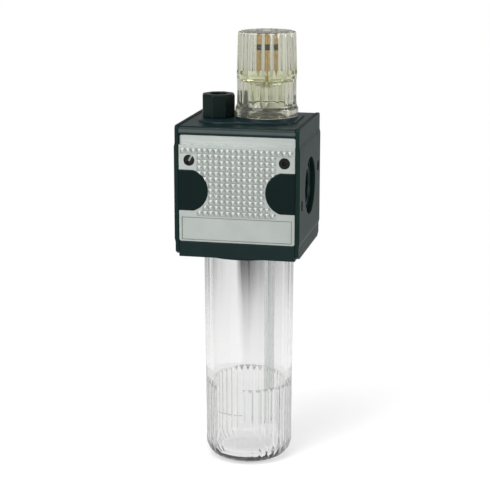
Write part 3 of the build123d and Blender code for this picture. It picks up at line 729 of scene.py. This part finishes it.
class LUBRICATOR_OT_plate(bpy.types.Operator):
    """Front plate embossed with rows of soft studs, with its plain band, label panel and openings"""

    bl_idname = "lubricator.plate"
    bl_label = "Front plate"

    ROW_COUNTS = (20, 14, 14, 14, 14, 12, 10, 10, 10, 10, 12, 14)

    def execute(self, context):
        settings = context.scene.lubricator
        s = settings.plate
        (left, front, bottom), (right, back, top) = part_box("front_plate")
        front += s.rise
        x, z = np.meshgrid(*self.lines(s, left, right, bottom - PORT, top - PORT))
        x, z = self.round_corners(s, x, z, left, right, bottom - PORT, top - PORT)
        middle = (left + right) / 2
        edge = self.edge_distance(s, x - middle, z, right - middle, bottom - PORT, top - PORT)
        x, z, inside = self.snapped(s, x, z, right, edge)
        depth, grime = self.relief(s, x, z)
        soft = np.clip(edge / s.edge, 0, 1)
        depth = depth + s.edge * (1 - np.sqrt(1 - (1 - soft) ** 2))
        y = np.where(inside, back - 0.05 * MM, np.minimum(front + depth, back - 0.05 * MM))
        mesh = self.slab("face_plate", np.stack([x, y, z + PORT], axis=-1), (middle, back, (top + bottom) / 2))
        # This attribute holds the shade painted into the stud valleys and the label panel's line.
        layer = mesh.attributes.new("grime", "FLOAT", "POINT")
        layer.data.foreach_set("value", np.concatenate([grime.ravel(), np.zeros(len(mesh.vertices) - grime.size)]))
        put("face_plate", mesh, self.silver(settings), "head", "front_plate", "front_plate")
        return {"FINISHED"}

    def lines(self, s, left, right, bottom, top):
        """Columns and rows of the grid: even ones in step with the studs, and close pairs at every step."""
        cell = s.pitch / 10
        rim = np.array([0, 0.04, 0.12, 0.22, 0.34]) * MM
        sill = np.array([-0.03, 0.03]) * MM
        across = np.arange(np.ceil((left + rim[-1]) / cell) + 1, np.floor((right - rim[-1]) / cell)) * cell
        steps = np.array([s.label_half_width, s.label_half_width - s.line_width])
        steps = np.concatenate([-steps, steps])
        across = across[np.min(np.abs(across[:, None] - steps), axis=1) > 0.08 * MM]
        columns = np.concatenate([left + rim, across, (steps[:, None] + sill).ravel(), right - rim])
        first = s.first_row
        up = first + np.arange(np.ceil((bottom + rim[-1] - first) / cell) + 1, np.floor((top - rim[-1] - first) / cell)) * cell
        steps = np.array([
            s.band_bottom, s.label_top, s.label_top - s.line_width, s.label_bottom + s.line_width, s.label_bottom,
        ])
        up = up[np.min(np.abs(up[:, None] - steps), axis=1) > 0.08 * MM]
        rows = np.concatenate([bottom + rim, up, (steps[:, None] + sill).ravel(), top - rim])
        return np.sort(columns), np.sort(rows)

    def round_corners(self, s, x, z, left, right, bottom, top):
        """Moves the square corners onto round ones.

        In a corner's own square, with u and v from 0 to 1 towards the corner, a point goes to
        u sqrt(1 - v^2 / 2) and v sqrt(1 - u^2 / 2), which takes the square's rim to the circle.
        """
        u = np.maximum(np.abs(x - (left + right) / 2) - ((right - left) / 2 - s.corner), 0) / s.corner
        v = np.maximum(np.abs(z - (bottom + top) / 2) - ((top - bottom) / 2 - s.corner), 0) / s.corner
        inward = s.corner * u * (1 - np.sqrt(1 - v ** 2 / 2))
        down = s.corner * v * (1 - np.sqrt(1 - u ** 2 / 2))
        return x - np.sign(x) * inward, z - np.sign(z - (bottom + top) / 2) * down

    def edge_distance(self, s, x, z, half, bottom, top):
        """Distance in from the plate's rounded outline."""
        u = np.abs(x) - (half - s.corner)
        v = np.abs(z - (bottom + top) / 2) - ((top - bottom) / 2 - s.corner)
        out = np.hypot(np.maximum(u, 0), np.maximum(v, 0)) + np.minimum(np.maximum(u, v), 0)
        return np.maximum(s.corner - out, 0)

    def opening(self, s, x, z, right):
        """Signed distance from the openings' outlines, below 0 inside them.

        A cover's opening is a circle run out sideways to the edge, cut level above and below; a
        screw's is a circle.
        """
        x = np.abs(x)
        over = z - s.cover_height
        round_end = np.hypot(np.minimum(x - (right - s.cover_inset), 0), over) - s.cover_radius
        cover = np.maximum(round_end, np.abs(over) - s.cover_half_height)
        screw = np.hypot(x - (right - s.screw_inset), z - s.screw_height) - s.screw_radius
        return np.minimum(cover, screw)

    def snapped(self, s, x, z, right, edge):
        """Grid points near an opening moved onto its outline, and a mask of those inside it."""
        step = 0.001 * MM
        far = self.opening(s, x, z, right)
        slope_x = (self.opening(s, x + step, z, right) - self.opening(s, x - step, z, right)) / (2 * step)
        slope_z = (self.opening(s, x, z + step, right) - self.opening(s, x, z - step, right)) / (2 * step)
        near = np.abs(far) < 0.5 * s.pitch / 10
        inner = near & (edge > 0.001 * MM)
        x = np.where(inner, x - far * slope_x, x)
        z = np.where(near, z - far * slope_z, z)
        return x, z, (far < 0) & ~near

    def relief(self, s, x, z):
        """Depth behind the plate's face, below 0 on a stud, and how much painted shade the place gets.

        A stud rises as cos(pi u) cos(pi v), with u and v in pitches from its middle, so that
        neighbours meet in a sharp valley. A row has as many studs as its count, level about the
        middle. The band and the label panel lie back by their own depths, and a fine line runs
        round the panel. Shade is painted into the valleys and the fine line, most under and right
        of a stud, as 1 - cos(pi (u - 0.13)) cos(pi (v - 0.13)).
        """
        row = np.round((s.first_row - z) / s.pitch)
        known = (row >= 0) & (row < len(self.ROW_COUNTS))
        count = np.where(known, np.take(self.ROW_COUNTS, np.clip(row, 0, len(self.ROW_COUNTS) - 1).astype(int)), 0)
        column = x / s.pitch + (count - 1) / 2
        within = known & (np.round(column) >= 0) & (np.round(column) < count)
        v = (s.first_row - z) / s.pitch - row
        u = column - np.round(column)
        swell = (s.rise + s.sink) * np.cos(np.pi * u) * np.cos(np.pi * v)
        stud = np.where(within, swell - s.sink, 0)
        inward = np.minimum(s.label_half_width - np.abs(x), np.minimum(z - s.label_bottom, s.label_top - z))
        panel = np.where(inward > 0, np.where(inward < s.line_width, s.line_depth, s.label_depth), 0)
        # Painted shade: darkest in the valleys, shifted under and right of each stud where the light falls away.
        valley_shade = 1 - np.cos(np.pi * (u - 0.13)) * np.cos(np.pi * (v - 0.13))
        grime = np.where(within, np.clip(valley_shade, 0, 1) ** 1.8, (inward > 0) * (inward < s.line_width) * 0.8)
        return np.where(z > s.band_bottom, s.band_setback, panel) - stud, grime

    def slab(self, name, grid, back):
        """Closed mesh of a front grid, side walls down to the back plane and a fan of faces over the back."""
        rows, columns = grid.shape[:2]
        index = np.arange(rows * columns).reshape(rows, columns)
        rim = np.concatenate([index[0, :-1], index[:-1, -1], index[-1, :0:-1], index[:0:-1, 0]])
        points = grid.reshape(-1, 3)
        behind = points[rim].copy()
        behind[:, 1] = back[1]
        points = np.concatenate([points, behind, [back]])
        low = rows * columns + np.arange(len(rim))
        quads = np.stack([index[:-1, :-1], index[:-1, 1:], index[1:, 1:], index[1:, :-1]], axis=-1).reshape(-1, 4)
        walls = np.stack([rim, low, np.roll(low, -1), np.roll(rim, -1)], axis=-1)
        fan = np.stack([low, np.full(len(rim), len(points) - 1), np.roll(low, -1)], axis=-1)
        mesh = bpy.data.meshes.new(name)
        mesh.from_pydata(points.tolist(), [], quads.tolist() + walls.tolist() + fan.tolist())
        mesh.validate()
        mesh.shade_smooth()
        mesh.set_sharp_from_angle(angle=np.radians(40))
        return mesh

    def silver(self, settings):
        """Satin silver with a fine grain and shade painted into the valleys between the studs; the plain band at the
        top is brushed level.
        """
        colour = settings.colours.silver
        shader = Shader(material := bpy.data.materials.new("silver"))
        here = shader.place()
        height = shader.parts(here)[2]
        band = height.step(PORT + settings.plate.band_bottom - 0.1 * MM, PORT + settings.plate.band_bottom)
        grain = shader.noise(here, 1 / (0.22 * MM), 3.0, 0.6)
        brushed = shader.noise(shader.place((0.02, 1.0, 1.0)), 1 / (0.25 * MM), 3.0, 0.65)
        stains = shader.noise(here, 110.0, 4.0, 0.55)
        tone = shader.mix(stains, lighter(colour, 0.90), lighter(colour, 1.10))
        tone = shader.mix(band * brushed.step(0.35, 0.65), tone, lighter(colour, 1.15))
        # Painted shade: the colour darkens where the plate's shade attribute is high, in the stud valleys and the label
        # line.
        grime = shader.node("ShaderNodeAttribute", {"attribute_name": "grime"}, out="Fac")
        tone = shader.mix(grime * 0.5, tone, lighter(colour, 0.35))
        rough = grain * 0.10 + (stains * 0.08 + 0.36) + band * (brushed * 0.2 - 0.1)
        height_map = grain * (1.0 - band) * 0.5 + band * brushed
        shader.surface(
            base_color=tone, metallic=1.0, roughness=rough.clamped(), normal=shader.bump(height_map, 0.00002),
        )
        return material


class LUBRICATOR_OT_finishes(bpy.types.Operator):
    """Finishes of the pieces that keep the model's solids"""

    bl_idname = "lubricator.finishes"
    bl_label = "Finishes"

    def execute(self, context):
        c = context.scene.lubricator.colours
        soft = 0.7 * MM
        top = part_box("housing")[1][2]
        # The grey band along the head's top front edge is a highlight painted into the casting's colour.
        edge_highlight = (top - 2.5 * MM, top - 1.2 * MM, 0.35 * MM, tuple(c.edge_highlight))
        dress(grained("casting", c.casting, 0.30, 0.30 * MM, 0.00002, rounding=soft, gloss=0.2, edge_highlight=edge_highlight),
              "housing")
        dress(grained("side_plate", c.side, 0.44, 0.28 * MM, 0.00004, rounding=soft, gloss=0.1),
              "side_plate_left", "side_plate_right")
        dress(grained("cover", c.moulded, 0.36, 0.30 * MM, 0.00003, rounding=soft, gloss=0.12), "coupling_cover_left",
              "coupling_cover_right")
        dress(grained("insert", c.insert, 0.30, 0.25 * MM, 0.00002, rounding=soft, gloss=0.22), "head_insert")
        dress(grained("rubber", c.rubber, 0.55, 0.20 * MM, 0.00002), "head_gasket", "bowl_o_ring",
              "dome_o_ring", "filler_plug_o_ring")
        dress(self.screw_black("screw_slotted", c, True), "plate_screw_left")
        dress(self.screw_black("screw_socket", c, False), "plate_screw_right")
        dress(brushed_metal("brass", c.brass, 0.26, 0.08 * MM, 0.00001, (0.1, 0.1, 1.0)), "venturi_insert")
        dress(self.needle_brass(c), "needle")
        dress(brushed_metal("steel", c.steel, 0.12, 0.1 * MM, 0.000002), "check_ball")
        dress(grained("nylon", c.nylon, 0.45, 0.4 * MM, 0.00002), "ball_cage", "siphon_seat")
        dress(clear_plastic("clear_tube", c.tube, 0.12, 0.00001), "siphon_tube")
        return {"FINISHED"}

    def needle_brass(self, colours):
        """Turned brass, with the black of the rubber seal and painted shade round the seal's groove."""
        shader = Shader(material := bpy.data.materials.new("needle_brass"))
        height = shader.parts(shader.place())[2]
        low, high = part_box("needle_o_ring")
        middle, half = (low[2] + high[2]) / 2, (high[2] - low[2]) / 2
        fine = shader.noise(shader.place((0.1, 0.1, 1.0)), 1 / (0.08 * MM), 3.0, 0.6)
        # Painted shade: the band is black past the seal's own height, standing for the rubber seal and the shade round
        # it.
        rubber_and_shade = 1.0 - (height - middle).math("ABSOLUTE").step(half + 0.6 * MM, half + 0.8 * MM)
        tone = shader.mix(fine, lighter(colours.brass, 0.85), lighter(colours.brass, 1.12))
        shader.surface(
            base_color=shader.mix(rubber_and_shade, tone, tuple(colours.rubber)), metallic=1.0 - rubber_and_shade,
            roughness=(fine * 0.12 + 0.2).clamped(), specular_ior_level=0.1, normal=shader.bump(fine, 0.00001),
        )
        return material

    def screw_black(self, name, colours, slotted):
        """Blackened steel; on the slotted screw a glint is painted in as a stripe of bright bare metal from the slot's
        middle outwards.
        """
        shader = Shader(material := bpy.data.materials.new(name))
        low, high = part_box("plate_screw_left")
        where = shader.place(shift=(-(low[0] + high[0]) / 2, 0.0, -(low[2] + high[2]) / 2))
        fine = shader.noise(shader.place(), 1 / (0.2 * MM), 3.0, 0.6)
        black, bright = lighter(colours.rubber, 0.7), tuple(colours.silver)
        painted_highlight = fine * 0.0
        # Painted glint: bright metal from the middle of the slot to its upper right end.
        if slotted:
            x, _, z = shader.parts(where)
            turn = np.radians(62)
            across = (x * np.sin(turn) - z * np.cos(turn)).math("ABSOLUTE")
            along = x * np.cos(turn) + z * np.sin(turn)
            painted_highlight = (1.0 - across.step(0.34 * MM, 0.42 * MM)) * along.step(-0.7 * MM, -0.5 * MM)
        tone = shader.mix(painted_highlight, shader.mix(fine, lighter(black, 0.7), lighter(black, 1.3)), bright)
        shader.surface(
            base_color=tone, metallic=painted_highlight, roughness=(fine * 0.1 + 0.35).clamped(),
            specular_ior_level=0.25, normal=shader.bump(fine, 0.00001),
        )
        return material


class LUBRICATOR_OT_stage(bpy.types.Operator):
    """Pale floor, soft lamps, white surroundings and the camera"""

    bl_idname = "lubricator.stage"
    bl_label = "Studio"

    def execute(self, context):
        s = context.scene.lubricator.studio
        self.surroundings(context, s)
        self.floor(context, s)
        self.lamp(context, "key_lamp", (-0.28, -0.50, 0.62), 0.50, s.key)
        self.lamp(context, "side_lamp", (0.55, -0.10, 0.30), 0.30, s.side)
        self.lamp(context, "front_lamp", (-0.45, -0.75, 0.30), 0.36, s.front)
        self.lamp(context, "top_lamp", (-0.08, -0.30, 0.75), 0.30, s.top)
        self.camera(context)
        context.scene.view_settings.view_transform = "Standard"
        return {"FINISHED"}

    def surroundings(self, context, s):
        """White to the camera and even on dull surfaces; gloss and clear pieces see a room.

        The room is a pale backdrop that darkens upwards, hung with shaded panels all round. With t
        the tangent of the height angle and w from 0 at a panel's left edge to 1 at its right, its
        level is level(t) - fall(t) * (1 - w), less a narrow dark joint at w = 0 that tapers
        downwards. The panels' edges lean by 0.3 t.
        """
        world = bpy.data.worlds.new("surroundings")
        context.scene.world = world
        shader = Shader(world)
        x, y, z = shader.parts(shader.node("ShaderNodeTexCoord", out="Generated"))
        rise = z / ((x * x + y * y) ** 0.5 + 0.001)
        heading = shader.node("ShaderNodeMath", {"operation": "ARCTAN2"}, {0: -x, 1: y}) - s.first_panel
        upper = rise.step(-0.33, -0.245)
        level = 1.0 - upper * 0.12 - rise.step(-0.22, -0.12) * 0.10 - rise.step(0.0, 0.22) * 0.34
        slanted = heading - (rise + 0.33) * 0.3
        across = (-slanted).math("WRAP", TURN / s.panels, 0.0) * (s.panels / TURN)
        fade = (1.0 - across).math("MAXIMUM", across.step(0.955, 1.0))
        reach = upper * 0.13 + 0.03
        low = 1.0 - rise.step(-0.22, -0.12)
        joint = (1.0 - across.step(reach * 0.3, reach)) * upper * 0.24 * low
        room = level - fade * (upper * 0.20 + rise.step(-0.285, -0.24) * low * 0.34 + 0.12) - joint
        path = shader.node("ShaderNodeLightPath").socket.node.outputs
        camera, glossy, through = (Link(shader, path[name]) for name in (
            "Is Camera Ray", "Is Glossy Ray", "Is Transmission Ray"))
        mirrored = glossy.math("MAXIMUM", through)
        strength = camera + (1.0 - camera) * (mirrored * (room - s.ambient) + s.ambient)
        look = shader.node("ShaderNodeBackground", {}, {"Color": (1.0, 1.0, 1.0), "Strength": strength})
        shader.node("ShaderNodeOutputWorld", {}, {"Surface": look})

    def floor(self, context, s):
        """A round pale floor that keeps the shadow and looks white where it is lit."""
        angle = np.linspace(0, TURN, 96, endpoint=False)
        edge = np.stack([s.floor_radius * np.cos(angle), s.floor_radius * np.sin(angle), 0 * angle], axis=1)
        mesh = bpy.data.meshes.new("floor")
        mesh.from_pydata(edge.tolist(), [], [list(range(len(edge)))])
        floor = bpy.data.objects.new("floor", mesh)
        context.scene.collection.objects.link(floor)
        floor.location.z = -0.0002
        shader = Shader(material := bpy.data.materials.new("pale_floor"))
        soft = shader.noise(shader.place(), 60.0, 3.0, 0.5)
        tone = shader.mix(soft, (0.80, 0.80, 0.80), (0.84, 0.84, 0.84))
        path = shader.node("ShaderNodeLightPath").socket.node.outputs
        camera, glossy, through = (Link(shader, path[name]) for name in (
            "Is Camera Ray", "Is Glossy Ray", "Is Transmission Ray"))
        glow = shader.mix(camera, (0.0, 0.0, 0.0), (0.35, 0.35, 0.35))
        glow = shader.mix(glossy, glow, (0.55, 0.55, 0.55))
        glow = shader.mix(through, glow, (0.82, 0.82, 0.82))
        tone = shader.mix(glossy.math("MAXIMUM", through), tone, (0.0, 0.0, 0.0))
        shader.surface(base_color=tone, roughness=0.8, emission_color=glow, emission_strength=1.0)
        mesh.materials.append(material)

    def lamp(self, context, name, place, size, power):
        """A soft round lamp that looks at the middle of the part."""
        data = bpy.data.lights.new(name, "AREA")
        data.shape = "DISK"
        data.size = size
        data.energy = power
        lamp = bpy.data.objects.new(name, data)
        context.scene.collection.objects.link(lamp)
        lamp.location = place
        aim = Vector((0, 0, 0.1)) - Vector(place)
        lamp.rotation_euler = aim.to_track_quat("-Z", "Y").to_euler()

    def camera(self, context):
        """The photograph's view: 12.3 degrees round to the right, 13.5 degrees down, a long lens."""
        yaw, pitch = 0.215209, 0.235269
        toward = Vector((np.sin(yaw) * np.cos(pitch), -np.cos(yaw) * np.cos(pitch), np.sin(pitch)))
        right = Vector((np.cos(yaw), np.sin(yaw), 0))
        up = Vector((-np.sin(yaw) * np.sin(pitch), np.cos(yaw) * np.sin(pitch), np.cos(pitch)))
        unit = 0.42 * MM
        data = bpy.data.cameras.new("camera")
        data.sensor_width = 36.0
        data.lens = 110.93
        data.clip_start = 0.01
        camera = bpy.data.objects.new("camera", data)
        context.scene.collection.objects.link(camera)
        place = Vector((0, 0, 0.11823)) + (right * -4.09 + up * -59.0 + toward * 1509.81) * unit
        turn = Matrix((right, up, toward)).transposed().to_4x4()
        camera.matrix_world = Matrix.Translation(place) @ turn
        context.scene.camera = camera


class LUBRICATOR_PT_panel(bpy.types.Panel):
    """Lists the lubricator's operators in the sidebar"""

    bl_idname = "LUBRICATOR_PT_panel"
    bl_label = "Lubricator"
    bl_space_type = "VIEW_3D"
    bl_region_type = "UI"
    bl_category = "Lubricator"

    def draw(self, context):
        for operator in OPERATORS:
            self.layout.operator(operator.bl_idname)


OPERATORS = (
    LUBRICATOR_OT_bowl, LUBRICATOR_OT_dome, LUBRICATOR_OT_seal, LUBRICATOR_OT_plug, LUBRICATOR_OT_plate,
    LUBRICATOR_OT_finishes, LUBRICATOR_OT_stage,
)
GROUPS = (BowlSizes, DomeSizes, PlugSizes, PlateSizes, FinishColours, StudioLight, LubricatorSettings)
CLASSES = (*GROUPS, *OPERATORS, LUBRICATOR_PT_panel)


def register():
    for item in CLASSES:
        bpy.utils.register_class(item)
    bpy.types.Scene.lubricator = PointerProperty(type=LubricatorSettings)


def unregister():
    del bpy.types.Scene.lubricator
    for item in reversed(CLASSES):
        bpy.utils.unregister_class(item)


def main():
    """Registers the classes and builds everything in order."""
    register()
    bpy.ops.lubricator.bowl()
    bpy.ops.lubricator.dome()
    bpy.ops.lubricator.seal()
    bpy.ops.lubricator.plug()
    bpy.ops.lubricator.plate()
    bpy.ops.lubricator.finishes()
    bpy.ops.lubricator.stage()


if __name__ == "__main__":
    main()
